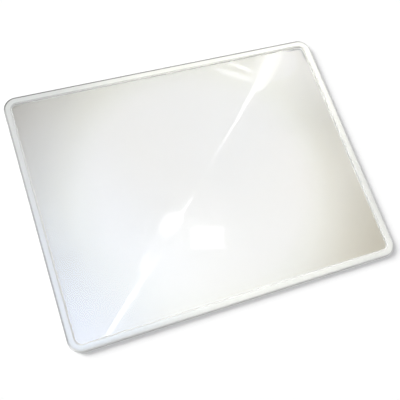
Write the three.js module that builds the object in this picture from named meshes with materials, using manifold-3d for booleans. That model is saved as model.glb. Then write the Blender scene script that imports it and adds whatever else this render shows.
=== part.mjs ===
// Full-page magnifier: a clear Fresnel lens sheet clamped in a narrow moulded rim of clear plastic.
// Millimetres. X runs along the sheet's long side and Z points up, out of the smooth face.
// The origin is the middle of the flat underside that the magnifier rests on.

import * as THREE from 'three';
import { mergeVertices } from 'three/addons/utils/BufferGeometryUtils.js';
import Module from 'manifold-3d';

const wasm = await Module();
wasm.setup();

// Outline of the magnifier, seen from above
const sheetLength = 266.7;
const sheetWidth = 203.2;
const outerCorner = 10.5;
const cornerSteps = 8;

// Rim, measured inwards from its outer edge
const rimBand = 6.2;
const wallBand = 3.6;
const bevelRun = 1.3;
const edgeRound = 1.2;
const roundSteps = 4;

// Heights through the rim and the sheet
const backLip = 1.0;
const lensThickness = 1.8;
const frontLip = 1.6;
const windowLand = 0.4;
const backChamfer = 0.4;

// Fit of the sheet in its channel
const lensEdgeGap = 0.3;
const lensPlay = 0.1;

// Cement bead in the groove between the two shells
const beadWidth = 0.9;
const beadHeight = 1.0;
const beadGap = 0.1;

// Concentric prisms under the sheet, far coarser than the real ones
const groovePitch = 8.0;
const grooveDepth = 0.7;
const draftShare = 0.08;
const grooveSegments = 72;

// One overrun serves all cuts
const overrun = 2.0;

// Heights that follow from the sizes above
const lensTop = backLip + lensThickness;
const channelTop = lensTop + lensPlay;
const totalHeight = lensTop + frontLip;
const partingHeight = backLip + lensThickness / 2;

// The outline drawn in by an inset, as points in plan, anticlockwise from the right-hand side
function outlinePoints(inset) {
  const radius = outerCorner - inset;
  const points = [];
  for (let corner = 0; corner < 4; corner++) {
    const diagonal = (corner + 0.5) * Math.PI / 2;
    const centreX = Math.sign(Math.cos(diagonal)) * (sheetLength / 2 - outerCorner);
    const centreY = Math.sign(Math.sin(diagonal)) * (sheetWidth / 2 - outerCorner);
    for (let step = 0; step <= cornerSteps; step++) {
      const angle = (corner + step / cornerSteps) * Math.PI / 2;
      const x = centreX + radius * Math.cos(angle);
      const y = centreY + radius * Math.sin(angle);
      points.push(new THREE.Vector2(x, y));
    }
  }
  return points;
}

// A closed ring: a section of inset and height points is carried once round the outline
function ringGeometry(section) {
  const rows = section.map((point) => outlinePoints(point.x));
  const around = rows[0].length;
  const position = [];
  const index = [];
  rows.forEach((row, i) => {
    const next = (i + 1) % rows.length;
    row.forEach((place, j) => {
      const ahead = (j + 1) % around;
      position.push(place.x, place.y, section[i].y);
      index.push(i * around + j, next * around + j, next * around + ahead);
      index.push(i * around + j, next * around + ahead, i * around + ahead);
    });
  });
  const geometry = new THREE.BufferGeometry();
  geometry.setAttribute('position', new THREE.Float32BufferAttribute(position, 3));
  geometry.setIndex(index);
  return geometry;
}

// A quarter round in a section, about a centre, from one angle over a quarter turn anticlockwise
function quarterRound(centreInset, centreHeight, radius, startAngle) {
  const curve = new THREE.EllipseCurve(
    centreInset, centreHeight, radius, radius, startAngle, startAngle + Math.PI / 2
  );
  return curve.getPoints(roundSteps);
}

// A plate with the outline drawn in by an inset, between two heights
function plateGeometry(inset, bottom, top) {
  const shape = new THREE.Shape(outlinePoints(inset));
  const geometry = new THREE.ExtrudeGeometry(shape, { depth: top - bottom, bevelEnabled: false });
  return geometry.translate(0, 0, bottom);
}

// A closed geometry as a solid for joins and cuts, and back
function solidOf(geometry) {
  const bare = geometry.clone();
  bare.deleteAttribute('normal');
  bare.deleteAttribute('uv');
  const merged = mergeVertices(bare);
  const vertProperties = new Float32Array(merged.getAttribute('position').array);
  const triVerts = new Uint32Array(merged.getIndex().array);
  return new wasm.Manifold(new wasm.Mesh({ numProp: 3, vertProperties, triVerts }));
}

function geometryOf(solid) {
  const mesh = solid.getMesh();
  const geometry = new THREE.BufferGeometry();
  geometry.setAttribute('position', new THREE.Float32BufferAttribute(mesh.vertProperties, 3));
  geometry.setIndex(Array.from(mesh.triVerts));
  return geometry;
}

// The groove for the cement bead, as the four corners of a notch in a shell's parting face
const beadInset = wallBand / 2;
const grooveHalf = beadWidth / 2 + beadGap;
const backGrooveFloor = partingHeight - beadHeight / 2;
const frontGrooveRoof = partingHeight + beadHeight / 2 + beadGap;

// Front shell: parting face, channel roof over the sheet's edge, bevelled window and rounded top edge
function frontRimGeometry() {
  const section = [
    new THREE.Vector2(0, partingHeight),
    new THREE.Vector2(beadInset - grooveHalf, partingHeight),
    new THREE.Vector2(beadInset - grooveHalf, frontGrooveRoof),
    new THREE.Vector2(beadInset + grooveHalf, frontGrooveRoof),
    new THREE.Vector2(beadInset + grooveHalf, partingHeight),
    new THREE.Vector2(wallBand, partingHeight),
    new THREE.Vector2(wallBand, channelTop),
    new THREE.Vector2(rimBand, channelTop),
    new THREE.Vector2(rimBand, channelTop + windowLand),
    new THREE.Vector2(rimBand - bevelRun, totalHeight),
    ...quarterRound(edgeRound, totalHeight - edgeRound, edgeRound, Math.PI / 2),
  ];
  return ringGeometry(section);
}

// Back shell: flat resting face with a rounded outer edge, seat under the sheet and parting face
function backRimGeometry() {
  const section = [
    ...quarterRound(edgeRound, edgeRound, edgeRound, Math.PI),
    new THREE.Vector2(rimBand - backChamfer, 0),
    new THREE.Vector2(rimBand, backChamfer),
    new THREE.Vector2(rimBand, backLip),
    new THREE.Vector2(wallBand, backLip),
    new THREE.Vector2(wallBand, partingHeight),
    new THREE.Vector2(beadInset + grooveHalf, partingHeight),
    new THREE.Vector2(beadInset + grooveHalf, backGrooveFloor),
    new THREE.Vector2(beadInset - grooveHalf, backGrooveFloor),
    new THREE.Vector2(beadInset - grooveHalf, partingHeight),
    new THREE.Vector2(0, partingHeight),
  ];
  return ringGeometry(section);
}

// Cement bead: it stands on the floor of the back shell's groove and reaches into the front shell
function cementBeadGeometry() {
  const section = [
    new THREE.Vector2(beadInset - beadWidth / 2, backGrooveFloor),
    new THREE.Vector2(beadInset + beadWidth / 2, backGrooveFloor),
    new THREE.Vector2(beadInset + beadWidth / 2, backGrooveFloor + beadHeight),
    new THREE.Vector2(beadInset - beadWidth / 2, backGrooveFloor + beadHeight),
  ];
  return ringGeometry(section);
}

// The sawtooth space under the prisms, turned about the optical axis. Each prism is full at its inner
// edge and thins outwards, and the prisms deepen towards the sheet's corners as a strong lens's do.
function grooveGeometry() {
  const reach = Math.hypot(sheetLength, sheetWidth) / 2;
  const count = Math.ceil(reach / groovePitch);
  const draftRun = groovePitch * draftShare;
  const profile = [new THREE.Vector2(0, backLip - overrun)];
  profile.push(new THREE.Vector2(count * groovePitch, backLip - overrun));
  for (let prism = count; prism > 0; prism--) {
    const depth = grooveDepth * prism / count;
    profile.push(new THREE.Vector2(prism * groovePitch, backLip));
    profile.push(new THREE.Vector2(prism * groovePitch - draftRun, backLip + depth));
  }
  profile.push(new THREE.Vector2(0, backLip));
  return new THREE.LatheGeometry(profile, grooveSegments).rotateX(Math.PI / 2);
}

// Lens sheet: smooth above, grooved below inside the window, with a plain margin that the rim holds
function fresnelLensGeometry() {
  const blank = solidOf(plateGeometry(wallBand + lensEdgeGap, backLip, lensTop));
  const window = solidOf(plateGeometry(rimBand, backLip - overrun, lensTop));
  const grooves = solidOf(grooveGeometry()).intersect(window);
  return geometryOf(blank.subtract(grooves));
}

function clearAcrylic() {
  return new THREE.MeshStandardMaterial({
    color: 0xeef1ee, roughness: 0.05, metalness: 0, transparent: true, opacity: 0.35,
  });
}

function clearMouldedPlastic() {
  return new THREE.MeshStandardMaterial({
    color: 0xf3f4ef, roughness: 0.15, metalness: 0, transparent: true, opacity: 0.55,
  });
}

function clearCement() {
  return new THREE.MeshStandardMaterial({
    color: 0xf6f6f2, roughness: 0.3, metalness: 0, transparent: true, opacity: 0.6,
  });
}

function namedMesh(name, geometry, material) {
  const mesh = new THREE.Mesh(geometry, material);
  mesh.name = name;
  geometry.computeVertexNormals();
  return mesh;
}

const magnifier = new THREE.Group();
magnifier.name = 'page_magnifier';
magnifier.add(namedMesh('fresnel_lens', fresnelLensGeometry(), clearAcrylic()));
magnifier.add(namedMesh('front_rim', frontRimGeometry(), clearMouldedPlastic()));
magnifier.add(namedMesh('back_rim', backRimGeometry(), clearMouldedPlastic()));
magnifier.add(namedMesh('cement_bead', cementBeadGeometry(), clearCement()));

export default magnifier;
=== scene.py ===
# %% [markdown]
# A page magnifier in clear plastic
#
# The object is a thin sheet of clear acrylic, about as large as a printed page. Its upper face is
# smooth. Its underside is cut into fine concentric prisms, which bend light as one thick lens would.
# Two moulded shells of clear plastic close round its edge and hold it a millimetre off the table.
# The measured solid model is loaded first. It stays as it is, and each piece made here fills the
# place of one of its solids.

# %% The measured model
import math

import bpy
from mathutils import Matrix, Vector


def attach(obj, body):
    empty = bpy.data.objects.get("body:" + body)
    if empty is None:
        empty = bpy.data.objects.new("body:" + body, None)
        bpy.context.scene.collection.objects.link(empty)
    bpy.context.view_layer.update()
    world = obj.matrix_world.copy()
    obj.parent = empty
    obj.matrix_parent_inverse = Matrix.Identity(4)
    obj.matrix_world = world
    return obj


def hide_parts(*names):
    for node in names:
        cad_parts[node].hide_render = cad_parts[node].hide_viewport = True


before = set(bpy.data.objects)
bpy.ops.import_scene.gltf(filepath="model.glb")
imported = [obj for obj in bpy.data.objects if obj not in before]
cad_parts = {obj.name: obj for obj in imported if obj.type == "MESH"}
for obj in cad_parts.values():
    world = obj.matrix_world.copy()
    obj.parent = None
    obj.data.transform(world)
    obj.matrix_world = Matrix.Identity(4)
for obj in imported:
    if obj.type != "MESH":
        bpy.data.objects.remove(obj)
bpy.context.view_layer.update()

# %% [markdown]
# Sizes
#
# Sizes are written in millimetres, as a maker would, and turned to metres where they are used.
# They are the same as the solid model's. What is measured inwards from the outline is an inset.

# %% Sizes in millimetres
MM = 0.001

# The outline, seen from above
sheet_length = 266.7
sheet_width = 203.2
outer_corner = 10.5

# The rim, measured inwards from its outer edge
rim_band = 6.2
wall_band = 3.6
bevel_run = 1.3
edge_round = 1.2

# Heights through the rim and the sheet
back_lip = 1.0
lens_thickness = 1.8
front_lip = 1.6
window_land = 0.4
back_chamfer = 0.4

# Fit of the sheet in its channel, and the bead of cement in its groove
lens_edge_gap = 0.3
lens_play = 0.1
bead_width = 0.9
bead_height = 1.0
bead_gap = 0.1

# What follows from the sizes above
lens_top = back_lip + lens_thickness
channel_top = lens_top + lens_play
total_height = lens_top + front_lip
parting_height = back_lip + lens_thickness / 2
bead_inset = wall_band / 2
groove_half = bead_width / 2 + bead_gap
groove_floor = parting_height - bead_height / 2
groove_roof = parting_height + bead_height / 2 + bead_gap
print("sheet from", back_lip, "to", lens_top, "mm, rim up to", total_height, "mm")

# %% [markdown]
# Camera
#
# The sheet is flat and its outline is a known rectangle, so its four corners in the photograph give
# the camera: where it stood, how it was turned and how long its lens was. The camera looks down
# steeply from above the near left corner. Its centre line needs no shift.

# %% Camera
camera_place = Vector((-144.67, -147.23, 461.5)) * MM
camera_right = Vector((0.92934, -0.31909, 0.18576))
camera_down = Vector((-0.24610, -0.91040, -0.33258))
camera_ahead = Vector((0.27524, 0.26337, -0.92460))
film_width = 36.0
lens_length = 57.29
nearest_seen = 0.01
farthest_seen = 20.0


def new_object(name, data):
    """An object in the scene, at the origin."""
    made = bpy.data.objects.new(name, data)
    bpy.context.scene.collection.objects.link(made)
    return made


camera_data = bpy.data.cameras.new("camera")
camera_data.sensor_width = film_width
camera_data.lens = lens_length
camera_data.clip_start = nearest_seen
camera_data.clip_end = farthest_seen
camera = new_object("camera", camera_data)
camera_turn = Matrix((camera_right, -camera_down, -camera_ahead)).transposed()
camera.matrix_world = Matrix.Translation(camera_place) @ camera_turn.to_4x4()
bpy.context.scene.camera = camera
print("camera", round(camera_place.length, 3), "m from the middle of the sheet")


# %% [markdown]
# Small helpers
#
# A colour is easiest to choose as a hex code, as on a paint card. Blender's sockets want linear
# light, so one function turns the code into it. Another adds one node, sets it up and joins it to
# what comes before it. It serves for materials and for Geometry Nodes alike. The four kinds of node
# that are used most get a short word each.

# %% Helpers for colours and nodes
MATH = "ShaderNodeMath"
VECTOR_MATH = "ShaderNodeVectorMath"
RANGE = "ShaderNodeMapRange"
MIX = "ShaderNodeMix"


def colour(code):
    """A hex code of an sRGB colour as linear red, green, blue and alpha."""
    channels = [int(code[i:i + 2], 16) / 255 for i in (1, 3, 5)]
    linear = [c / 12.92 if c <= 0.04045 else ((c + 0.055) / 1.055) ** 2.4 for c in channels]
    return (*linear, 1.0)


def feed(tree, node, inputs):
    """Gives each socket a constant, another node's socket, or a node for that node's first one."""
    for name, value in inputs.items():
        if isinstance(value, bpy.types.Node):
            value = value.outputs[0]
        if isinstance(value, bpy.types.NodeSocket):
            tree.links.new(value, node.inputs[name])
        else:
            node.inputs[name].default_value = value


def add(tree, kind, inputs=None, **settings):
    """A new node with its settings and with what feeds it."""
    node = tree.nodes.new(kind)
    for name, value in settings.items():
        setattr(node, name, value)
    feed(tree, node, inputs or {})
    return node


WHITE = colour("#FFFFFF")
print("a mid grey in linear light:", round(colour("#808080")[0], 3))

# %% [markdown]
# Clear plastics
#
# All four pieces are clear plastic, so what the eye sees is mostly what lies behind them, bent and
# a little dimmed, and what is mirrored in them. A lamp's light has to reach the table through the
# plastic, and a renderer's shadow ray can't be bent, so each material lets shadow rays straight
# through with a tint of its own. The tint is what draws the object's soft shadow.

# %% Clear plastics
acrylic_shadow_tint = colour("#FEFEFE")


def new_material(name):
    """A material with an empty tree."""
    material = bpy.data.materials.new(name)
    material.use_nodes = True
    material.node_tree.nodes.clear()
    return material


def lamps_pass(material, surface, tint):
    """Joins a surface to the material's output, and lets lamps' light through with a tint."""
    tree = material.node_tree
    passing = add(tree, "ShaderNodeBsdfTransparent", {"Color": tint})
    path = add(tree, "ShaderNodeLightPath")
    joined = add(tree, "ShaderNodeMixShader", {
        0: path.outputs["Is Shadow Ray"], 1: surface, 2: passing})
    add(tree, "ShaderNodeOutputMaterial", {"Surface": joined})


print("shadow tint of acrylic:", [round(c, 3) for c in acrylic_shadow_tint[:3]])

# %% [markdown]
# A place on the sheet or the rim
#
# Some finishes change with the distance from the outline, such as the clear lip and the dark outer
# edge. The outline is a rectangle with round corners. Fold a place into one quarter of it and take
# off the middle of the corner's arc: what is left, where it isn't below nought, says how far out the
# place lies and which way out is. The sheet's shape needs the same answer later on.
# Other finishes are strongest round one place and fade away from it.

# %% A place on the sheet or the rim
arc_middle_x = sheet_length / 2 - outer_corner
arc_middle_y = sheet_width / 2 - outer_corner

# The third number is so large that a place's height never counts
arc_middle = Vector((arc_middle_x, arc_middle_y, 1000.0))


def past_arc_middle(tree, place, middle):
    """How far a place lies past the middle of its corner's arc, folded into one quarter."""
    folded = add(tree, VECTOR_MATH, {0: place}, operation="ABSOLUTE")
    over = add(tree, VECTOR_MATH, {0: folded, 1: middle}, operation="SUBTRACT")
    return add(tree, VECTOR_MATH, {0: over, 1: (0.0, 0.0, 0.0)}, operation="MAXIMUM")


def way_outwards(tree, place, past):
    """The level way outwards at a place, unfolded again by the place's signs."""
    unit = add(tree, VECTOR_MATH, {0: past}, operation="NORMALIZE")
    signs = add(tree, VECTOR_MATH, {0: place}, operation="SIGN")
    return add(tree, VECTOR_MATH, {0: unit, 1: signs}, operation="MULTIPLY")


def inset_from_outline(tree, past):
    """How far in from the outline a place lies, in metres, up to the corner radius."""
    away = add(tree, VECTOR_MATH, {0: past}, operation="LENGTH").outputs["Value"]
    return add(tree, MATH, {0: outer_corner * MM, 1: away}, operation="SUBTRACT")


def fading(tree, place, middle, reach, most, **settings):
    """A strength that is full up to the first reach from a middle and gone at the second, in mm."""
    away = add(tree, VECTOR_MATH, {0: place, 1: Vector(middle) * MM}, operation="DISTANCE")
    return add(tree, RANGE, {
        "Value": away.outputs["Value"], "From Min": reach[0] * MM, "From Max": reach[1] * MM,
        "To Min": most, "To Max": 0.0}, **settings)


print("middle of a corner's arc, mm:", round(arc_middle_x, 2), round(arc_middle_y, 2))

# %% [markdown]
# Polished acrylic
#
# The sheet's face was pressed against a polished plate, so it is as smooth as glass. Acrylic has an
# index of 1.49. A slow ripple, a few centimetres long and hardly deep, is left by the cooling and
# bends mirrored lamps a little. Handling leaves a faint haze in patches.

# %% Polished acrylic
acrylic_index = 1.49
ripple_length = 45.0
ripple_depth = 0.6
haze_patch = 30.0


def polished_acrylic():
    """A hard clear mirror, with edges of light that waver a little."""
    material = new_material("acrylic_polished")
    tree = material.node_tree
    place = add(tree, "ShaderNodeTexCoord").outputs["Object"]
    ripple = add(tree, "ShaderNodeTexNoise", {
        "Vector": place, "Scale": 1 / (ripple_length * MM), "Detail": 1.0, "Roughness": 0.4})
    bump = add(tree, "ShaderNodeBump", {
        "Height": ripple, "Strength": 0.05, "Distance": ripple_depth * MM})
    haze = add(tree, "ShaderNodeTexNoise", {
        "Vector": place, "Scale": 1 / (haze_patch * MM), "Detail": 5.0, "Roughness": 0.6})
    rough = add(tree, RANGE, {
        "Value": haze, "From Min": 0.35, "From Max": 0.75, "To Min": 0.02, "To Max": 0.045})
    shader = add(tree, "ShaderNodeBsdfPrincipled", {
        "Base Color": colour("#FDFDFD"), "Roughness": rough, "IOR": acrylic_index,
        "Transmission Weight": 1.0, "Normal": bump})
    lamps_pass(material, shader, acrylic_shadow_tint)
    return material


acrylic_polished = polished_acrylic()
print("made", acrylic_polished.name)


# %% [markdown]
# Tone of the prisms
#
# Each prism has a clear facet, which does the lens's work, and a steep riser, which is left frosted.
# The facets get steeper outwards and send more and more of the light aside. That loss of light is
# painted as shade in the facets' tone: the sheet is clear in the middle and greyer towards its
# corners, and the tone follows the distance from the centre.
# Towards the near right corner the tone turns warmer and a little darker. In the far right corner a
# dark bracket is painted on the sheet just inside the lip, as painted shade.

# %% Tone of the prisms
# Distance from the centre in mm, and the painted shade of the facets there
prism_painted_shades = [(72, "#FFFFFC"), (84, "#FDFDF8"), (96, "#F3F4EA"), (108, "#E1E1D3"),
               (125, "#C6C5B8"), (150, "#A5A298"), (166, "#9C998F")]

# Under the lip less of the painted shade shows, which is painted light, from the first inset to the
# second
under_lip = (5.4, 6.4)
under_lip_painted_light = 0.6

# The warmer tone starts at the first distance from the middle, this way, and is full at the second
warm_way = (0.76, -0.65, 0.0)
warm_from = (110, 150)

# The painted dark bracket: the corner that it lies round, its reach along both sides, its inset and
# width
bracket_corner = (123.5, 92.0, 0.0)
bracket_reach = (8, 13)
bracket_inset = 7.0
bracket_half = 0.7


def facet_painted_shade(tree, place, inset):
    """Painted shade by the distance from the centre, with painted light under the lip."""
    radius = add(tree, VECTOR_MATH, {0: place}, operation="LENGTH").outputs["Value"]
    last_distance = prism_painted_shades[-1][0]
    share = add(tree, MATH, {0: radius, 1: last_distance * MM}, operation="DIVIDE")
    tone = add(tree, "ShaderNodeValToRGB", {"Fac": share})
    stops = tone.color_ramp.elements
    while len(stops) < len(prism_painted_shades):
        stops.new(0.5)
    for stop, (distance, code) in zip(stops, prism_painted_shades):
        stop.position = distance / last_distance
        stop.color = colour(code)
    painted_light_under_lip = add(tree, RANGE, {
        "Value": inset, "From Min": under_lip[0] * MM, "From Max": under_lip[1] * MM,
        "To Min": under_lip_painted_light, "To Max": 0.0})
    return add(tree, MIX, {"Factor": painted_light_under_lip, 6: tone, 7: WHITE}, data_type="RGBA").outputs[2]


def warmer_tone(tree, place, tone):
    """A tone that is warmer and a little darker towards the near right corner."""
    along = add(tree, VECTOR_MATH, {0: place, 1: warm_way}, operation="DOT_PRODUCT")
    warmth = add(tree, RANGE, {
        "Value": along.outputs["Value"],
        "From Min": warm_from[0] * MM, "From Max": warm_from[1] * MM})
    return add(tree, MIX, {"Factor": warmth, 6: tone, 7: colour("#F6F3E4")},
               data_type="RGBA", blend_type="MULTIPLY").outputs[2]


def tone_with_painted_bracket(tree, place, inset, tone):
    """A tone with a painted dark bracket, painted shade, in the far right corner."""
    # Painted shade: a dark line along the lip near the far right corner
    near = fading(tree, place, bracket_corner, bracket_reach, 1.0)
    strip = add(tree, MATH, {0: inset, 1: bracket_inset * MM, 2: bracket_half * MM},
                operation="COMPARE")
    bracket_mask = add(tree, MATH, {0: near, 1: strip}, operation="MULTIPLY")
    return add(tree, MIX, {"Factor": bracket_mask, 6: tone, 7: colour("#2A2A28")},
               data_type="RGBA").outputs[2]


print("tones of the prisms at", [distance for distance, code in prism_painted_shades], "mm")

# %% [markdown]
# Turned prisms and frosted risers
#
# The mould for the underside was turned on a lathe. The facets come out clear, only softly blurred,
# and the risers rough. The lathe's marks smear a mirrored lamp into two long fans. That takes a
# renderer very many rays, so here the marks give only a faint sheen, which is drawn out across
# them, and long lamps further down draw the fans.

# %% Turned prisms and frosted risers
lathe_mark_share = 0.01


def lathe_marks(tree, place):
    """A level sheen that is drawn out away from the centre, across the marks."""
    level_place = add(tree, VECTOR_MATH, {0: place, 1: (1.0, 1.0, 0.0)}, operation="MULTIPLY")
    across_marks = add(tree, VECTOR_MATH, {0: level_place}, operation="NORMALIZE")
    upright = add(tree, "ShaderNodeCombineXYZ", {"Z": 1.0})
    return add(tree, "ShaderNodeBsdfPrincipled", {
        "Base Color": WHITE, "Roughness": 0.25, "Metallic": 1.0, "Anisotropic": 1.0,
        "Tangent": across_marks, "Normal": upright})


def turned_prisms():
    """Clear facets, softly blurred, greyer outwards by painted shade, with a faint sheen."""
    material = new_material("acrylic_prisms")
    tree = material.node_tree
    place = add(tree, "ShaderNodeTexCoord").outputs["Object"]
    inset = inset_from_outline(tree, past_arc_middle(tree, place, arc_middle * MM))
    tone = facet_painted_shade(tree, place, inset)
    tone = warmer_tone(tree, place, tone)
    tone = tone_with_painted_bracket(tree, place, inset, tone)
    clear = add(tree, "ShaderNodeBsdfPrincipled", {
        "Base Color": tone, "Roughness": 0.4, "IOR": acrylic_index, "Transmission Weight": 1.0})
    both = add(tree, "ShaderNodeMixShader", {
        0: lathe_mark_share, 1: clear, 2: lathe_marks(tree, place)})
    lamps_pass(material, both, acrylic_shadow_tint)
    return material


def frosted_risers():
    """Steep walls, left rough by the tool, which scatter a little light."""
    material = new_material("acrylic_risers")
    tree = material.node_tree
    shader = add(tree, "ShaderNodeBsdfPrincipled", {
        "Base Color": colour("#E2E2DA"), "Roughness": 0.5, "IOR": acrylic_index,
        "Transmission Weight": 1.0})
    lamps_pass(material, shader, acrylic_shadow_tint)
    return material


acrylic_prisms = turned_prisms()
acrylic_risers = frosted_risers()
print("made", acrylic_prisms.name, "and", acrylic_risers.name)


# %% [markdown]
# How milky the rim is
#
# The shells are injection moulded in clear styrene, which is never quite as clear as acrylic. Its
# tone changes along the rim as painted shade, for the darker surroundings that the clear plastic
# shows there: greyer at the left end, whiter towards the far right, and dimmer again at the near end
# of the right side. Faint clouds are left in it too. The lips over and under the sheet are thin and
# so almost clear.

# %% How milky the rim is
wall_milk = 0.75
cloud_patch = 20.0
cloud_change = 0.03

# Where the thin lips begin: the front one, and the back one, which lies lower than this height
front_lip_start = 4.6
back_lip_start = 3.6
lip_blend = 0.8
lip_milk_share = 0.15
back_lip_height = back_lip + lens_play

# How the painted shade changes from the left end to the middle, and from the near side to the far one
left_end = (-125, 0)
left_change = 0.72
near_side = (-100, 100)
near_change = 0.28

# The stretch with more painted shade: its place, its reach and how dim it is
dim_place = (135.0, -45.0, 0.0)
dim_reach = (20, 85)
dim_change = 0.32


def thin_lip(tree, inset, height):
    """One in the rim's thin lips, nought in its wall."""
    low = add(tree, MATH, {0: height, 1: back_lip_height * MM}, operation="LESS_THAN")
    start = add(tree, RANGE, {
        "Value": low, "To Min": front_lip_start * MM, "To Max": back_lip_start * MM})
    end = add(tree, MATH, {0: start, 1: lip_blend * MM}, operation="ADD")
    return add(tree, RANGE, {"Value": inset, "From Min": start, "From Max": end})


def clouded(tree, place, clear):
    """How clear a plastic is, with faint clouds in it."""
    cloud = add(tree, "ShaderNodeTexNoise", {
        "Vector": place, "Scale": 1 / (cloud_patch * MM), "Detail": 3.0, "Roughness": 0.5})
    drift = add(tree, RANGE, {
        "Value": cloud, "From Min": 0.3, "From Max": 0.7,
        "To Min": -cloud_change, "To Max": cloud_change})
    return add(tree, MATH, {0: clear, 1: drift}, operation="ADD")


def wall_painted_tone(tree, place, along_x, along_y):
    """The wall's tone at a place along the rim, with painted shade that changes along it."""
    along = add(tree, RANGE, {
        "Value": along_x, "From Min": left_end[0] * MM, "From Max": left_end[1] * MM,
        "To Min": 0.0, "To Max": left_change}, interpolation_type="SMOOTHSTEP")
    across = add(tree, RANGE, {
        "Value": along_y, "From Min": near_side[0] * MM, "From Max": near_side[1] * MM,
        "To Min": 0.0, "To Max": near_change})
    paler = add(tree, MATH, {0: along, 1: across}, operation="ADD")
    dimmer = fading(tree, place, dim_place, dim_reach, dim_change)
    side_shade = add(tree, MATH, {0: paler, 1: dimmer}, operation="SUBTRACT")
    return add(tree, MIX, {"Factor": side_shade, 6: colour("#D1D3D3"), 7: colour("#F9F9F4")},
               data_type="RGBA").outputs[2]


print("wall lets", round(100 * (1 - wall_milk)), "percent straight through")

# %% [markdown]
# The rim's outer edge
#
# The rounded outer edge turns the table's light away. That is painted on it as a dark line on the far
# sides, and the edge is painted pale on the near ones. It also takes some of the key lamp's light,
# and that draws the darker edge of the shadow on the near right.

# %% The rim's outer edge
# The painted dark line, from the first inset to the second and above this height
dark_edge = (0.8, 1.7)
dark_edge_height = 2.6

# The way that the near long side faces, and the way that the near right corner faces
near_way = (0.45, -0.89, 0.0)
corner_way = (0.81, -0.59, 0.0)


def tone_with_painted_edge(tree, inset, height, outwards, tone):
    """A tone with the rim's outer edge painted in: painted shade on the far sides, pale on the near
    ones.
    """
    outer = add(tree, RANGE, {
        "Value": inset, "From Min": dark_edge[0] * MM, "From Max": dark_edge[1] * MM,
        "To Min": 1.0, "To Max": 0.0})
    high = add(tree, MATH, {0: height, 1: dark_edge_height * MM}, operation="GREATER_THAN")
    edge = add(tree, MATH, {0: outer, 1: high}, operation="MULTIPLY")
    facing = add(tree, VECTOR_MATH, {0: outwards, 1: near_way}, operation="DOT_PRODUCT")
    pale = add(tree, RANGE, {
        "Value": facing.outputs["Value"], "From Min": -0.9, "From Max": 0.2})
    painted_edge_tone = add(tree, MIX, {"Factor": pale, 6: colour("#1C1D1C"), 7: colour("#E8E8E8")},
                    data_type="RGBA").outputs[2]
    return add(tree, MIX, {"Factor": edge, 6: tone, 7: painted_edge_tone}, data_type="RGBA").outputs[2]


def edge_shadow_tint(tree, inset, outwards):
    """What the rim lets through to its shadow: less in the rounded edge on the near right."""
    rounded = add(tree, MATH, {0: inset, 1: edge_round * MM}, operation="LESS_THAN")
    facing = add(tree, VECTOR_MATH, {0: outwards, 1: corner_way}, operation="DOT_PRODUCT")
    shadow_side = add(tree, RANGE, {
        "Value": facing.outputs["Value"], "From Min": -0.4, "From Max": 0.4})
    shading = add(tree, MATH, {0: rounded, 1: shadow_side}, operation="MULTIPLY")
    return add(tree, MIX, {"Factor": shading, 6: WHITE, 7: colour("#9A9B9E")},
               data_type="RGBA").outputs[2]


print("dark edge from", dark_edge[0], "to", dark_edge[1], "mm inwards")

# %% [markdown]
# Rim styrene and cement
#
# Styrene bends light more than acrylic does, with an index of 1.57. As it comes from the mould it is
# glossy, with a slight blur. The cement softens the styrene that it joins and cures to much the
# same clear plastic, a little milky and with a duller skin.

# %% Rim styrene and cement
styrene_index = 1.57
cement_clear = 0.5


def moulded_styrene():
    """A pale glossy plastic: milky where it is thick, and clear where it is thin."""
    material = new_material("rim_clear_styrene")
    tree = material.node_tree
    place = add(tree, "ShaderNodeTexCoord").outputs["Object"]
    along_x, along_y, height = add(tree, "ShaderNodeSeparateXYZ", {0: place}).outputs
    past = past_arc_middle(tree, place, arc_middle * MM)
    inset = inset_from_outline(tree, past)
    outwards = way_outwards(tree, place, past)
    lip = thin_lip(tree, inset, height)
    clear = add(tree, RANGE, {
        "Value": lip, "To Min": 1 - wall_milk, "To Max": 1 - wall_milk * lip_milk_share})
    # The wall's tone carries painted shade that changes along the rim
    wall = wall_painted_tone(tree, place, along_x, along_y)
    body = add(tree, MIX, {"Factor": lip, 6: wall, 7: WHITE}, data_type="RGBA").outputs[2]
    # The outer edge is painted dark on the far sides and pale on the near ones
    tone = tone_with_painted_edge(tree, inset, height, outwards, body)
    shader = add(tree, "ShaderNodeBsdfPrincipled", {
        "Base Color": tone, "Roughness": 0.15, "IOR": styrene_index,
        "Specular IOR Level": 0.25, "Transmission Weight": clouded(tree, place, clear)})
    lamps_pass(material, shader, edge_shadow_tint(tree, inset, outwards))
    return material


def cured_cement():
    """A dull clear body, half milky, which shows as a faint light line inside the rim."""
    material = new_material("cement_cured_clear")
    tree = material.node_tree
    place = add(tree, "ShaderNodeTexCoord").outputs["Object"]
    shader = add(tree, "ShaderNodeBsdfPrincipled", {
        "Base Color": colour("#F8F8F4"), "Roughness": 0.35, "IOR": styrene_index,
        "Specular IOR Level": 0.25, "Transmission Weight": clouded(tree, place, cement_clear)})
    lamps_pass(material, shader, WHITE)
    return material


rim_plastic = moulded_styrene()
cement = cured_cement()
print("made", rim_plastic.name, "and", cement.name)


# %% [markdown]
# The lens sheet
#
# The sheet follows one rule. Walk outwards from the centre and the underside rises slowly, drops
# back steeply, and starts again: each step is one prism, and the prisms get steeper outwards. That
# is a job for Geometry Nodes. A grid of points is rolled up round the centre. One count of the grid
# says how far along the walk a point is, the other in which direction it looks. The direction
# comes from a loop of points, which is drawn first. It lies under the rim's lip, a little outside
# the window, so that the prisms' end is hidden.

# %% A loop of points under the lip
loop_inset = 4.1
corner_steps = 10
side_steps = {"long": 40, "short": 30}


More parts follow.
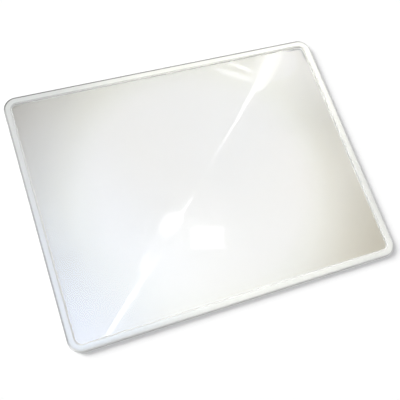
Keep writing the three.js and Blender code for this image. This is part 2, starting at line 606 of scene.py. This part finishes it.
def corner_arcs(inset):
    """The four corner arcs of the outline drawn in by an inset, anticlockwise, in millimetres."""
    arcs = []
    for corner in range(4):
        diagonal = (corner + 0.5) * math.pi / 2
        centre_x = math.copysign(arc_middle_x, math.cos(diagonal))
        centre_y = math.copysign(arc_middle_y, math.sin(diagonal))
        radius = outer_corner - inset
        turns = [(corner + step / corner_steps) * math.pi / 2 for step in range(corner_steps + 1)]
        arcs.append([(centre_x + radius * math.cos(a), centre_y + radius * math.sin(a))
                     for a in turns])
    return arcs


def loop_object(name, inset):
    """A closed loop of points at an inset, with the straight sides cut up evenly."""
    points = []
    arcs = corner_arcs(inset)
    for arc, following in zip(arcs, arcs[1:] + arcs[:1]):
        points += arc
        (x0, y0), (x1, y1) = arc[-1], following[0]
        steps = side_steps["long" if abs(x1 - x0) > abs(y1 - y0) else "short"]
        points += [(x0 + (x1 - x0) * k / steps, y0 + (y1 - y0) * k / steps)
                   for k in range(1, steps)]
    count = len(points)
    mesh = bpy.data.meshes.new(name)
    mesh.from_pydata([(x * MM, y * MM, 0.0) for x, y in points],
                     [(i, (i + 1) % count) for i in range(count)], [])
    return new_object(name, mesh), count


lens_sheet, directions = loop_object("lens_sheet", loop_inset)
print("directions round the centre:", directions)

# %% [markdown]
# The grid
#
# Geometry Nodes number a grid's points column by column, so a division gives each point its column
# and its row. The real prisms are about a third of a millimetre wide. They are drawn 0.75 mm wide,
# which is still finer than the picture can show one by one. Each takes two rows.

# %% The grid
prism_pitch = 0.75
prism_count = math.ceil(math.hypot(sheet_length, sheet_width) / 2 / prism_pitch)


def new_tree(name, inputs):
    """A Geometry Nodes tree with named inputs of each kind, and the inputs' sockets."""
    tree = bpy.data.node_groups.new(name, "GeometryNodeTree")
    face = tree.interface
    face.new_socket("Geometry", in_out="INPUT", socket_type="NodeSocketGeometry")
    for kind, names in inputs.items():
        for each in names:
            face.new_socket(each, in_out="INPUT", socket_type="NodeSocket" + kind)
    face.new_socket("Geometry", in_out="OUTPUT", socket_type="NodeSocketGeometry")
    return tree, add(tree, "NodeGroupInput").outputs


def counted_grid(tree, directions_round, rows):
    """A grid that keeps each point's row, and the points' columns and rows. Its last column meets
    the first when it is rolled up."""
    columns = add(tree, MATH, {0: directions_round, 1: 1.0}, operation="ADD")
    grid = add(tree, "GeometryNodeMeshGrid", {
        "Vertices X": columns, "Vertices Y": rows, "Size X": 1.0, "Size Y": 1.0})
    number = add(tree, "GeometryNodeInputIndex")
    between = add(tree, MATH, {0: number, 1: 0.5}, operation="ADD")
    columns_done = add(tree, MATH, {0: between, 1: rows}, operation="DIVIDE")
    column = add(tree, MATH, {0: columns_done}, operation="FLOOR")
    points_before = add(tree, MATH, {0: column, 1: rows}, operation="MULTIPLY")
    row = add(tree, MATH, {0: number, 1: points_before}, operation="SUBTRACT")
    kept = add(tree, "GeometryNodeCaptureAttribute", domain="POINT")
    kept.capture_items.new("FLOAT", "row")
    feed(tree, kept, {"Geometry": grid, "row": row})
    return kept, column, row


def point_on_loop(tree, given, column):
    """The loop's point in a column's direction."""
    loop_place = add(tree, MATH, {0: column, 1: given["Directions"]}, operation="MODULO")
    position = add(tree, "GeometryNodeInputPosition")
    return add(tree, "GeometryNodeSampleIndex", {
        "Geometry": given["Geometry"], "Value": position, "Index": loop_place},
        data_type="FLOAT_VECTOR")


print("prisms from the centre to the corners:", prism_count)

# %% [markdown]
# The prisms
#
# The lens law gives each prism's slope. For a lens of focal length f and index n with the light
# coming parallel through the smooth face, the slope's tangent at radius r is
# r / (n * sqrt(r * r + f * f) - f). A prism's depth is its width times that, less a little for the
# lean of its riser. Where the loop cuts through a prism, the prism stops there.

# %% The prisms
prism_draft = 0.12
focal_length = 700.0


def prism_slope(tree, given, prism):
    """The tangent of a prism's slope, by the lens law."""
    focal = given["Focal Length"]
    middle = add(tree, MATH, {0: prism, 1: 0.5}, operation="SUBTRACT")
    radius = add(tree, MATH, {0: middle, 1: given["Pitch"]}, operation="MULTIPLY")
    radius_square = add(tree, MATH, {0: radius, 1: radius}, operation="MULTIPLY")
    focal_square = add(tree, MATH, {0: focal, 1: focal}, operation="MULTIPLY")
    square = add(tree, MATH, {0: radius_square, 1: focal_square}, operation="ADD")
    ray = add(tree, MATH, {0: square}, operation="SQRT")
    slowed = add(tree, MATH, {0: ray, 1: given["Index"]}, operation="MULTIPLY")
    run = add(tree, MATH, {0: slowed, 1: focal}, operation="SUBTRACT")
    tangent = add(tree, MATH, {0: radius, 1: run}, operation="DIVIDE")
    return add(tree, MATH, {0: tangent, 1: 0.0}, operation="MAXIMUM")


def place_on_prisms(tree, given, row, on_loop):
    """Where a row's point lies on the prisms, or on the loop if the row is past it."""
    pitch = given["Pitch"]
    draft = given["Draft"]
    reach = add(tree, VECTOR_MATH, {0: on_loop}, operation="LENGTH").outputs["Value"]
    pairs = add(tree, MATH, {0: row, 1: 2.0}, operation="DIVIDE")
    prism = add(tree, MATH, {0: pairs}, operation="CEIL")
    odd = add(tree, MATH, {0: row, 1: 2.0}, operation="MODULO")
    at_stop = add(tree, MATH, {0: reach, 1: pitch}, operation="DIVIDE")
    last = add(tree, MATH, {0: at_stop}, operation="CEIL")
    last_share = add(tree, MATH, {0: at_stop}, operation="FRACT")
    here = add(tree, MATH, {0: prism, 1: last}, operation="MINIMUM")

    # The slope gives the prism's depth and the run of its riser
    slope = prism_slope(tree, given, here)
    lean = add(tree, MATH, {0: slope, 1: draft}, operation="MULTIPLY")
    drafted = add(tree, MATH, {0: lean, 1: 1.0}, operation="ADD")
    upright_depth = add(tree, MATH, {0: slope, 1: pitch}, operation="MULTIPLY")
    full_depth = add(tree, MATH, {0: upright_depth, 1: drafted}, operation="DIVIDE")
    riser_run = add(tree, MATH, {0: full_depth, 1: draft}, operation="MULTIPLY")

    # Even rows are a prism's full inner edge, odd rows its thin outer edge
    prism_end = add(tree, MATH, {0: prism, 1: pitch}, operation="MULTIPLY")
    riser_back = add(tree, MATH, {0: odd, 1: riser_run}, operation="MULTIPLY")
    walked = add(tree, MATH, {0: prism_end, 1: riser_back}, operation="SUBTRACT")
    stopped = add(tree, MATH, {0: walked, 1: reach}, operation="MINIMUM")
    over = add(tree, MATH, {0: walked, 1: reach}, operation="GREATER_THAN")
    whole_depth = add(tree, MATH, {0: full_depth, 1: odd}, operation="MULTIPLY")

    # The loop cuts the last prism in its facet or in its riser, whichever is lower
    across = add(tree, MATH, {0: last_share, 1: pitch}, operation="MULTIPLY")
    left_over = add(tree, MATH, {0: pitch, 1: across}, operation="SUBTRACT")
    rise = add(tree, MATH, {0: across, 1: slope}, operation="MULTIPLY")
    fall = add(tree, MATH, {0: left_over, 1: draft}, operation="DIVIDE")
    cut_depth = add(tree, MATH, {0: rise, 1: fall}, operation="MINIMUM")
    depth = add(tree, MIX, {"Factor": over, 2: whole_depth, 3: cut_depth}, data_type="FLOAT")
    height = add(tree, MATH, {0: given["Underside"], 1: depth}, operation="ADD")
    way = add(tree, VECTOR_MATH, {0: on_loop}, operation="NORMALIZE")
    on_ring = add(tree, VECTOR_MATH, {0: way, "Scale": stopped}, operation="SCALE")
    lifted = add(tree, "ShaderNodeCombineXYZ", {"Z": height})
    return add(tree, VECTOR_MATH, {0: on_ring, 1: lifted}, operation="ADD")


print("risers lean by", round(math.degrees(math.atan(prism_draft)), 1), "degrees")

# %% [markdown]
# The sheet's edge and top
#
# Past the loop the walk goes on over a plain margin, up the sheet's edge with its two small chamfers,
# and back over the smooth top to the centre. Each point of it is a distance out from the loop, a
# height, and a share of the loop's size, which is nought at the centre.

# %% The sheet's edge and top
edge_chamfer = 0.15
margin_past_loop = loop_inset - wall_band - lens_edge_gap


def walk_past_loop(tree, given):
    """The points of the walk. The first stands in for the rows on the prisms."""
    margin = given["Margin"]
    underside = given["Underside"]
    full = add(tree, MATH, {0: margin, 1: given["Chamfer"]}, operation="SUBTRACT")
    top = add(tree, MATH, {0: underside, 1: given["Thickness"]}, operation="ADD")
    edge_low = add(tree, MATH, {0: underside, 1: given["Chamfer"]}, operation="ADD")
    edge_high = add(tree, MATH, {0: top, 1: given["Chamfer"]}, operation="SUBTRACT")
    return [
        (0.0, underside, 1.0),
        (0.0, underside, 1.0),
        (full, underside, 1.0),
        (margin, edge_low, 1.0),
        (margin, edge_high, 1.0),
        (full, top, 1.0),
        (0.0, top, 0.0),
    ]


def place_past_loop(tree, given, walk, step, on_loop):
    """Where a step of the walk lies: straight out on the sides, fanned at the corners."""
    place_in_walk = add(tree, MATH, {0: step, 1: 0.0}, operation="MAXIMUM")
    switches = []
    for values in zip(*walk):
        switch = add(tree, "GeometryNodeIndexSwitch", data_type="FLOAT")
        while len(switch.index_switch_items) < len(walk):
            switch.index_switch_items.new()
        feed(tree, switch, {"Index": place_in_walk})
        feed(tree, switch, {place + 1: value for place, value in enumerate(values)})
        switches.append(switch)
    out, up, shrunk = switches
    past = past_arc_middle(tree, on_loop, given["Arc Middle"])
    outwards = way_outwards(tree, on_loop, past)
    moved = add(tree, VECTOR_MATH, {0: outwards, "Scale": out}, operation="SCALE")
    on_outline = add(tree, VECTOR_MATH, {0: on_loop, 1: moved}, operation="ADD")
    drawn_in = add(tree, VECTOR_MATH, {0: on_outline, "Scale": shrunk}, operation="SCALE")
    raised = add(tree, "ShaderNodeCombineXYZ", {"Z": up})
    return add(tree, VECTOR_MATH, {0: drawn_in, 1: raised}, operation="ADD")


print("plain margin past the loop:", round(margin_past_loop, 2), "mm")

# %% [markdown]
# The whole sheet
#
# The tree puts these together, gives each face its material by its row, and welds the points that
# meet at the centre and where the grid closes. The result is turned to a plain mesh.

# %% The whole sheet
weld_distance = 0.004


def in_materials(tree, given, rolled, row, prism_rows):
    """The sheet with a material on its facets, one on its risers and one on its other faces."""
    faces = add(tree, "GeometryNodeSetMaterial", {
        "Geometry": rolled, "Material": given["Face Material"]})
    first_past = add(tree, MATH, {0: prism_rows, 1: 1.0}, operation="ADD")
    under = add(tree, MATH, {0: row, 1: first_past}, operation="LESS_THAN")
    prisms = add(tree, "GeometryNodeSetMaterial", {
        "Geometry": faces, "Selection": under, "Material": given["Prism Material"]})
    row_of_pair = add(tree, MATH, {0: row, 1: 2.0}, operation="MODULO")
    steep = add(tree, MATH, {0: row_of_pair, 1: 1.0}, operation="GREATER_THAN")
    riser = add(tree, MATH, {0: steep, 1: under}, operation="MULTIPLY")
    return add(tree, "GeometryNodeSetMaterial", {
        "Geometry": prisms, "Selection": riser, "Material": given["Riser Material"]})


def prism_tree():
    """A sheet with a smooth top and concentric prisms below, grown from a loop of points."""
    tree, given = new_tree("prism_sheet", {
        "Int": ("Directions", "Prisms"),
        "Float": ("Pitch", "Draft", "Focal Length", "Index", "Underside", "Thickness", "Margin",
                  "Chamfer", "Weld"),
        "Vector": ("Arc Middle",),
        "Material": ("Prism Material", "Riser Material", "Face Material")})
    walk = walk_past_loop(tree, given)
    prism_rows = add(tree, MATH, {0: given["Prisms"], 1: 2.0}, operation="MULTIPLY")
    rows = add(tree, MATH, {0: prism_rows, 1: float(len(walk))}, operation="ADD")
    grid, column, row = counted_grid(tree, given["Directions"], rows)
    on_loop = point_on_loop(tree, given, column)
    step = add(tree, MATH, {0: row, 1: prism_rows}, operation="SUBTRACT")
    beyond = add(tree, MATH, {0: step, 1: 0.5}, operation="GREATER_THAN")
    place = add(tree, MIX, {
        "Factor": beyond, 4: place_on_prisms(tree, given, row, on_loop),
        5: place_past_loop(tree, given, walk, step, on_loop)}, data_type="VECTOR").outputs[1]
    rolled = add(tree, "GeometryNodeSetPosition", {"Geometry": grid, "Position": place})
    painted = in_materials(tree, given, rolled, grid.outputs["row"], prism_rows)
    welded = add(tree, "GeometryNodeMergeByDistance", {
        "Geometry": painted, "Distance": given["Weld"]})
    real = add(tree, "GeometryNodeRealizeInstances", {"Geometry": welded})
    add(tree, "NodeGroupOutput", {"Geometry": real})
    return tree


def run_tree(made, tree, values, crease=30):
    """Gives an object a tree, sets its inputs by identifier and turns the result to plain mesh.
    Edges that turn by more than the crease's degrees stay sharp."""
    modifier = made.modifiers.new("shape", "NODES")
    modifier.node_group = tree
    sockets = {s.name: s.identifier for s in tree.interface.items_tree if s.in_out == "INPUT"}
    for name, value in values.items():
        modifier[sockets[name]] = value
    graph = bpy.context.evaluated_depsgraph_get()
    graph.update()
    mesh = bpy.data.meshes.new_from_object(made.evaluated_get(graph), depsgraph=graph)
    made.modifiers.clear()
    made.data = mesh
    if mesh.materials[0] is None:
        mesh.materials.pop(index=0)
    mesh.set_sharp_from_angle(angle=math.radians(crease))
    triangles = sum(len(p.vertices) - 2 for p in mesh.polygons)
    print(made.name, "has", triangles, "triangles, materials", [m.name for m in mesh.materials])


run_tree(lens_sheet, prism_tree(), {
    "Directions": directions, "Prisms": prism_count, "Pitch": prism_pitch * MM,
    "Draft": prism_draft, "Focal Length": focal_length * MM, "Index": acrylic_index,
    "Underside": back_lip * MM, "Thickness": lens_thickness * MM,
    "Margin": margin_past_loop * MM, "Chamfer": edge_chamfer * MM, "Weld": weld_distance * MM,
    "Arc Middle": tuple(arc_middle * MM), "Prism Material": acrylic_prisms,
    "Riser Material": acrylic_risers, "Face Material": acrylic_polished}, crease=4)
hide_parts("fresnel_lens")
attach(lens_sheet, "root")


# %% [markdown]
# The rim's sections
#
# Each rim shell is one section carried round one rounded rectangle, as a length of moulding would
# be. The section is a closed line with its small edge radii drawn in, because a moulded edge is
# never sharp and its glint is what the eye finds.

# %% The rim's sections
arc_steps = 5
tool_radius = 0.08
land_radius = 0.15
bevel_radius = 0.3
bead_radius = 0.3
parting_gap = 0.01


def section_points(corners):
    """Corners are (inset, height, radius) in mm, in turn. Each comes back as a small arc."""
    points = []
    for i, (inset, height, radius) in enumerate(corners):
        here = Vector((inset, height))
        back = Vector(corners[i - 1][:2]) - here
        ahead = Vector(corners[(i + 1) % len(corners)][:2]) - here
        half = back.angle(ahead) / 2
        back.normalize()
        ahead.normalize()
        centre = here + (back + ahead).normalized() * (radius / math.sin(half))
        start = here + back * (radius / math.tan(half)) - centre
        finish = here + ahead * (radius / math.tan(half)) - centre
        sweep = start.angle_signed(finish)
        for step in range(arc_steps + 1):
            spoke = start.copy()
            spoke.rotate(Matrix.Rotation(-sweep * step / arc_steps, 2))
            points.append(tuple(centre + spoke))
    return points


def section_curve(name, corners):
    """A closed line through a section's points, inset and height turned to the curve's own way."""
    points = section_points(corners)
    data = bpy.data.curves.new(name, "CURVE")
    line = data.splines.new("POLY")
    line.points.add(len(points) - 1)
    for point, (inset, height) in zip(line.points, points):
        point.co = (-inset * MM, -height * MM, 0.0, 1.0)
    line.use_cyclic_u = True
    print(name, len(points), "points")
    return new_object(name, data)


front_face = parting_height + parting_gap
front_section = section_curve("front_section", [
    (0.0, front_face, tool_radius),
    (bead_inset - groove_half, front_face, tool_radius),
    (bead_inset - groove_half, groove_roof, tool_radius),
    (bead_inset + groove_half, groove_roof, tool_radius),
    (bead_inset + groove_half, front_face, tool_radius),
    (wall_band, front_face, tool_radius),
    (wall_band, channel_top, tool_radius),
    (rim_band, channel_top, tool_radius),
    (rim_band, channel_top + window_land, land_radius),
    (rim_band - bevel_run, total_height, bevel_radius),
    (0.0, total_height, edge_round),
])
back_section = section_curve("back_section", [
    (0.0, 0.0, edge_round),
    (rim_band - back_chamfer, 0.0, tool_radius),
    (rim_band, back_chamfer, tool_radius),
    (rim_band, back_lip, tool_radius),
    (wall_band, back_lip, tool_radius),
    (wall_band, parting_height, tool_radius),
    (bead_inset + groove_half, parting_height, tool_radius),
    (bead_inset + groove_half, groove_floor, tool_radius),
    (bead_inset - groove_half, groove_floor, tool_radius),
    (bead_inset - groove_half, parting_height, tool_radius),
    (0.0, parting_height, tool_radius),
])
bead_section = section_curve("bead_section", [
    (bead_inset - bead_width / 2, groove_floor, tool_radius),
    (bead_inset + bead_width / 2, groove_floor, tool_radius),
    (bead_inset + bead_width / 2, groove_floor + bead_height, bead_radius),
    (bead_inset - bead_width / 2, groove_floor + bead_height, bead_radius),
])

# %% [markdown]
# The rim and the bead
#
# A second tree draws the outline with its round corners and carries a section along it. The two
# shells and the bead of cement between them are the same job with three sections.

# %% The rim and the bead
rim_corner_steps = 20


def moulding_tree():
    """A section carried round a rounded rectangle."""
    tree, given = new_tree("moulding", {
        "Float": ("Length", "Width", "Corner"), "Int": ("Corner Steps",),
        "Object": ("Section",), "Material": ("Material",)})
    outline = add(tree, "GeometryNodeCurvePrimitiveQuadrilateral", {
        "Width": given["Length"], "Height": given["Width"]})
    rounded = add(tree, "GeometryNodeFilletCurve", {
        "Curve": outline, "Count": given["Corner Steps"], "Radius": given["Corner"]}, mode="POLY")
    section = add(tree, "GeometryNodeObjectInfo", {"Object": given["Section"]})
    swept = add(tree, "GeometryNodeCurveToMesh", {
        "Curve": rounded, "Profile Curve": section.outputs["Geometry"]})
    finished = add(tree, "GeometryNodeSetMaterial", {
        "Geometry": swept, "Material": given["Material"]})
    real = add(tree, "GeometryNodeRealizeInstances", {"Geometry": finished})
    add(tree, "NodeGroupOutput", {"Geometry": real})
    return tree


moulding = moulding_tree()
for name, section, material, node, finish in (
        ("rim_front", front_section, rim_plastic, "front_rim", "rim_plastic"),
        ("rim_back", back_section, rim_plastic, "back_rim", "rim_plastic"),
        ("rim_bead", bead_section, cement, "cement_bead", "cement")):
    piece = new_object(name, bpy.data.meshes.new(name))
    run_tree(piece, moulding, {
        "Length": sheet_length * MM, "Width": sheet_width * MM, "Corner": outer_corner * MM,
        "Corner Steps": rim_corner_steps, "Section": section, "Material": material})
    bpy.data.objects.remove(section)
    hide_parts(node)
    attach(piece, "root")

# %% [markdown]
# The table
#
# The table is white, as in a catalogue picture. It shines just enough to look white to the eye and
# to what looks at it through the plastic or in a mirror. Only the part of its colour that the lamps
# light can be shaded, so the shadow stays.

# %% The table
table_half = 6.0
table_drop = 0.1
table_glow = 0.2


def table_top():
    """A matt white table just under the magnifier."""
    material = new_material("table_white")
    tree = material.node_tree
    path = add(tree, "ShaderNodeLightPath").outputs
    seen = add(tree, MATH, {0: path["Is Camera Ray"], 1: path["Is Glossy Ray"]},
               operation="MAXIMUM")
    seen = add(tree, MATH, {0: seen, 1: path["Is Transmission Ray"]}, operation="MAXIMUM")
    glow = add(tree, MATH, {0: seen, 1: table_glow}, operation="MULTIPLY")
    shader = add(tree, "ShaderNodeBsdfPrincipled", {
        "Base Color": colour("#E7E7E7"), "Roughness": 0.9, "Specular IOR Level": 0.0,
        "Emission Color": WHITE, "Emission Strength": glow})
    add(tree, "ShaderNodeOutputMaterial", {"Surface": shader})
    corners = [(-1, -1), (1, -1), (1, 1), (-1, 1)]
    mesh = bpy.data.meshes.new("table")
    mesh.from_pydata([(x * table_half, y * table_half, -table_drop * MM) for x, y in corners],
                     [], [(0, 1, 2, 3)])
    mesh.materials.append(material)
    return new_object("table", mesh)


table = table_top()
print("table", 2 * table_half, "m square")

# %% [markdown]
# The key lamp
#
# One broad soft lamp stands low beyond the far left corner, so the shadow falls to the near right.
# It lights the table and isn't mirrored: what the plastic mirrors comes after it.

# %% The key lamp
key_azimuth = math.radians(144)
key_elevation = math.radians(32)
key_width = math.radians(30)
key_strength = 4.58

key_direction = Vector((math.cos(key_elevation) * math.cos(key_azimuth),
                        math.cos(key_elevation) * math.sin(key_azimuth),
                        math.sin(key_elevation)))
key_data = bpy.data.lights.new("key_lamp", "SUN")
key_data.energy = key_strength
key_data.angle = key_width
key = new_object("key_lamp", key_data)
key.location = key_direction
key.rotation_mode = "QUATERNION"
key.rotation_quaternion = (-key_direction).to_track_quat("-Z", "Y")
key.visible_camera = False
key.visible_glossy = False
key.visible_transmission = False
print("key lamp towards", [round(part, 2) for part in key_direction])


# %% [markdown]
# Lamps that are only mirrored
#
# The sheet's smooth face mirrors what is over it. A lamp on a level ceiling has its mirror image as
# far below the face as the lamp is above it, so a pattern on the ceiling shows on the sheet in the
# same shape, only smaller. One proportion therefore places each lamp where its image is wanted.
# These lamps light nothing else, and light that comes back from the table doesn't see them.
# The thin ones draw the two fans of the prisms, the broad weak ones the glow round the fans, and one
# pane of light lies beside the lower fan.

# %% Lamps that are only mirrored
eye_height = camera_place.z - lens_top * MM
ceiling_height = 1.4
ceiling_scale = (eye_height + ceiling_height) / eye_height
foot = Vector((camera_place.x, camera_place.y))

# Name, shape, middle and size of the image in mm, its turn in degrees, brightness and tint
mirrored_lamps = [
    ("upper_start", "ELLIPSE", (50, 47.2), (114, 1.1), 43.5, 9, "#FFFFFF"),
    ("upper_line", "ELLIPSE", (84, 79.5), (116, 4.2), 43.5, 6, "#FFFFFF"),
    ("upper_fan", "ELLIPSE", (91, 84), (56, 15), 47, 4.2, "#FFFFFF"),
    ("upper_fan_side", "ELLIPSE", (88, 85.5), (58, 19), 49, 1.8, "#FFFFFF"),
    ("upper_glow", "ELLIPSE", (101, 82), (40, 24), 25, 1.3, "#EEEAFF"),
    ("upper_ray_a", "ELLIPSE", (60, 80.5), (46, 4.6), -32, 5.0, "#FFFFFF"),
    ("upper_ray_b", "ELLIPSE", (67, 87), (36, 3.4), -36, 6.8, "#FFFFFF"),
    ("lower_tip", "ELLIPSE", (-23, -21), (30, 1.7), 42, 9, "#FFFFFF"),
    ("lower_blob", "ELLIPSE", (-36, -28.5), (23, 15), 30, 3.2, "#FFFFFF"),
    ("lower_core", "ELLIPSE", (-50, -42.5), (38, 8), 45, 1.0, "#FFFFFF"),
    ("lower_knot", "ELLIPSE", (-62, -53), (17, 11), 35, 3.4, "#FFFFFF"),
    ("lower_line", "ELLIPSE", (-86, -78.5), (76, 3.8), 41, 6, "#FFFFFF"),
    ("lower_glow", "ELLIPSE", (-42, -44), (46, 30), 42, 0.7, "#FFFFFF"),
    ("pane", "RECTANGLE", (-12.5, -47), (25, 16.5), -16, 5, "#FFFFFF"),
    ("pane_glow", "ELLIPSE", (-19, -42), (36, 26), -16, 0.9, "#FFFFFF"),
]


def not_from_table(tree):
    """One where a ray has not yet been scattered by the table, and nought after that."""
    path = add(tree, "ShaderNodeLightPath")
    return add(tree, MATH, {0: path.outputs["Diffuse Depth"], 1: 0.5}, operation="LESS_THAN")


def mirrored_lamp(name, shape, image, size, turn, brightness, tint):
    """A ceiling lamp whose mirror image has this middle, size and turn on the sheet. Its energy
    grows with its area, so the brightness is the same for any size."""
    data = bpy.data.lights.new(name, "AREA")
    data.shape = shape
    data.size, data.size_y = (side * MM * ceiling_scale for side in size)
    area = data.size * data.size_y * (math.pi / 4 if shape == "ELLIPSE" else 1)
    data.energy = brightness * math.pi * area
    data.color = colour(tint)[:3]
    data.use_nodes = True
    tree = data.node_tree
    feed(tree, tree.nodes["Emission"], {"Strength": not_from_table(tree)})
    made = new_object(name, data)
    spot = foot + (Vector(image) * MM - foot) * ceiling_scale
    made.location = (spot.x, spot.y, ceiling_height + lens_top * MM)
    made.rotation_euler = (0.0, 0.0, math.radians(turn))
    made.visible_camera = False
    made.visible_diffuse = False


for lamp in mirrored_lamps:
    mirrored_lamp(*lamp)
print(len(mirrored_lamps), "mirrored lamps, scaled up by", round(ceiling_scale, 2))


# %% [markdown]
# What else is mirrored
#
# Over the magnifier there is more than lamps: cool daylight to the left and in front, warmer tones
# to the right, and a little unevenness everywhere. They are drawn in the world as soft round
# patches, placed by the same proportion.

# %% What else is mirrored
# Middle and reach of each patch's image on the sheet in mm, its tint and its strength
room_patches = [
    ((-150, -60), 150, "#BED4FC", 8.2),
    ((-125, -110), 85, "#E2ECFF", 8.0),
    ((-50, -100), 60, "#F0F4FF", 2.5),
    ((0, -110), 130, "#F4F6F4", 3.2),
    ((110, -30), 100, "#FFDFAA", 1.5),
    ((124, 98), 86, "#FFFFFF", 8.0),
    ((-15, -46), 50, "#F2F8FF", 1.1),
    ((50, 92), 55, "#FFFDF4", 1.5),
    ((-103, 58), 62, "#6C90FF", 1.0),
    ((100, -100), 65, "#FFE6B4", 1.3),
]
mottle_patch = 45.0
lowest_look = 0.02


def image_on_sheet(tree, look, rise):
    """Where on the sheet a mirrored direction has its image."""
    steepness = add(tree, MATH, {0: rise, 1: lowest_look}, operation="MAXIMUM")
    level = add(tree, VECTOR_MATH, {0: look, 1: (eye_height, eye_height, 0.0)},
                operation="MULTIPLY")
    stretch = add(tree, MATH, {0: 1.0, 1: steepness}, operation="DIVIDE")
    spread = add(tree, VECTOR_MATH, {0: level, "Scale": stretch}, operation="SCALE")
    return add(tree, VECTOR_MATH, {0: spread, 1: (foot.x, foot.y, 0.0)}, operation="ADD")


def mottled_room(tree, image):
    """Pale uneven walls with the patches on them."""
    mottle = add(tree, "ShaderNodeTexNoise", {
        "Vector": image, "Scale": 1 / (mottle_patch * MM), "Detail": 2.0, "Roughness": 0.5})
    walls = add(tree, RANGE, {
        "Value": mottle, "From Min": 0.35, "From Max": 0.65, "To Min": 0.45, "To Max": 0.75})
    lit = add(tree, "ShaderNodeBackground", {"Color": colour("#F2F2EE"), "Strength": walls})
    for middle, reach, tint, strength in room_patches:
        fade = fading(tree, image, (*middle, 0.0), (0, reach), strength,
                      interpolation_type="SMOOTHSTEP")
        patch = add(tree, "ShaderNodeBackground", {"Color": colour(tint), "Strength": fade})
        lit = add(tree, "ShaderNodeAddShader", {0: lit, 1: patch})
    return lit


print(len(room_patches), "patches in the room")

# %% [markdown]
# The world
#
# Low down, near the horizon, the world is plain white, and so it is wherever the camera sees it.
# Only what the plastic mirrors or lets through shows the room. What lights the table from the sky
# is weak and even.

# %% The world
horizon = (0.2, 0.35)
sky_strength = 0.25


def room():
    """A world that is white to the camera, weak and even to the table, and a room to mirrors."""
    world = bpy.data.worlds.new("room")
    bpy.context.scene.world = world
    world.use_nodes = True
    tree = world.node_tree
    tree.nodes.clear()
    path = add(tree, "ShaderNodeLightPath").outputs
    look = add(tree, "ShaderNodeTexCoord").outputs["Generated"]
    rise = add(tree, "ShaderNodeSeparateXYZ", {0: look}).outputs["Z"]
    lit = mottled_room(tree, image_on_sheet(tree, look, rise))
    backdrop = add(tree, "ShaderNodeBackground", {"Color": WHITE, "Strength": 1.0})
    low = add(tree, RANGE, {
        "Value": rise, "From Min": horizon[0], "From Max": horizon[1],
        "To Min": 1.0, "To Max": 0.0})
    around = add(tree, "ShaderNodeMixShader", {0: low, 1: lit, 2: backdrop})
    dark = add(tree, "ShaderNodeBackground", {"Color": colour("#000000"), "Strength": 0.0})
    mirrored = add(tree, "ShaderNodeMixShader", {0: not_from_table(tree), 1: dark, 2: around})
    sky = add(tree, "ShaderNodeBackground", {"Color": WHITE, "Strength": sky_strength})
    in_plastic = add(tree, MATH, {0: path["Is Glossy Ray"], 1: path["Is Transmission Ray"]},
                     operation="MAXIMUM")
    unseen = add(tree, "ShaderNodeMixShader", {0: in_plastic, 1: sky, 2: mirrored})
    seen = add(tree, "ShaderNodeMixShader", {0: path["Is Camera Ray"], 1: unseen, 2: backdrop})
    add(tree, "ShaderNodeOutputWorld", {"Surface": seen})


room()
bpy.context.scene.view_settings.view_transform = "Standard"
print("sky at", sky_strength, "of white, world", bpy.context.scene.world.name)
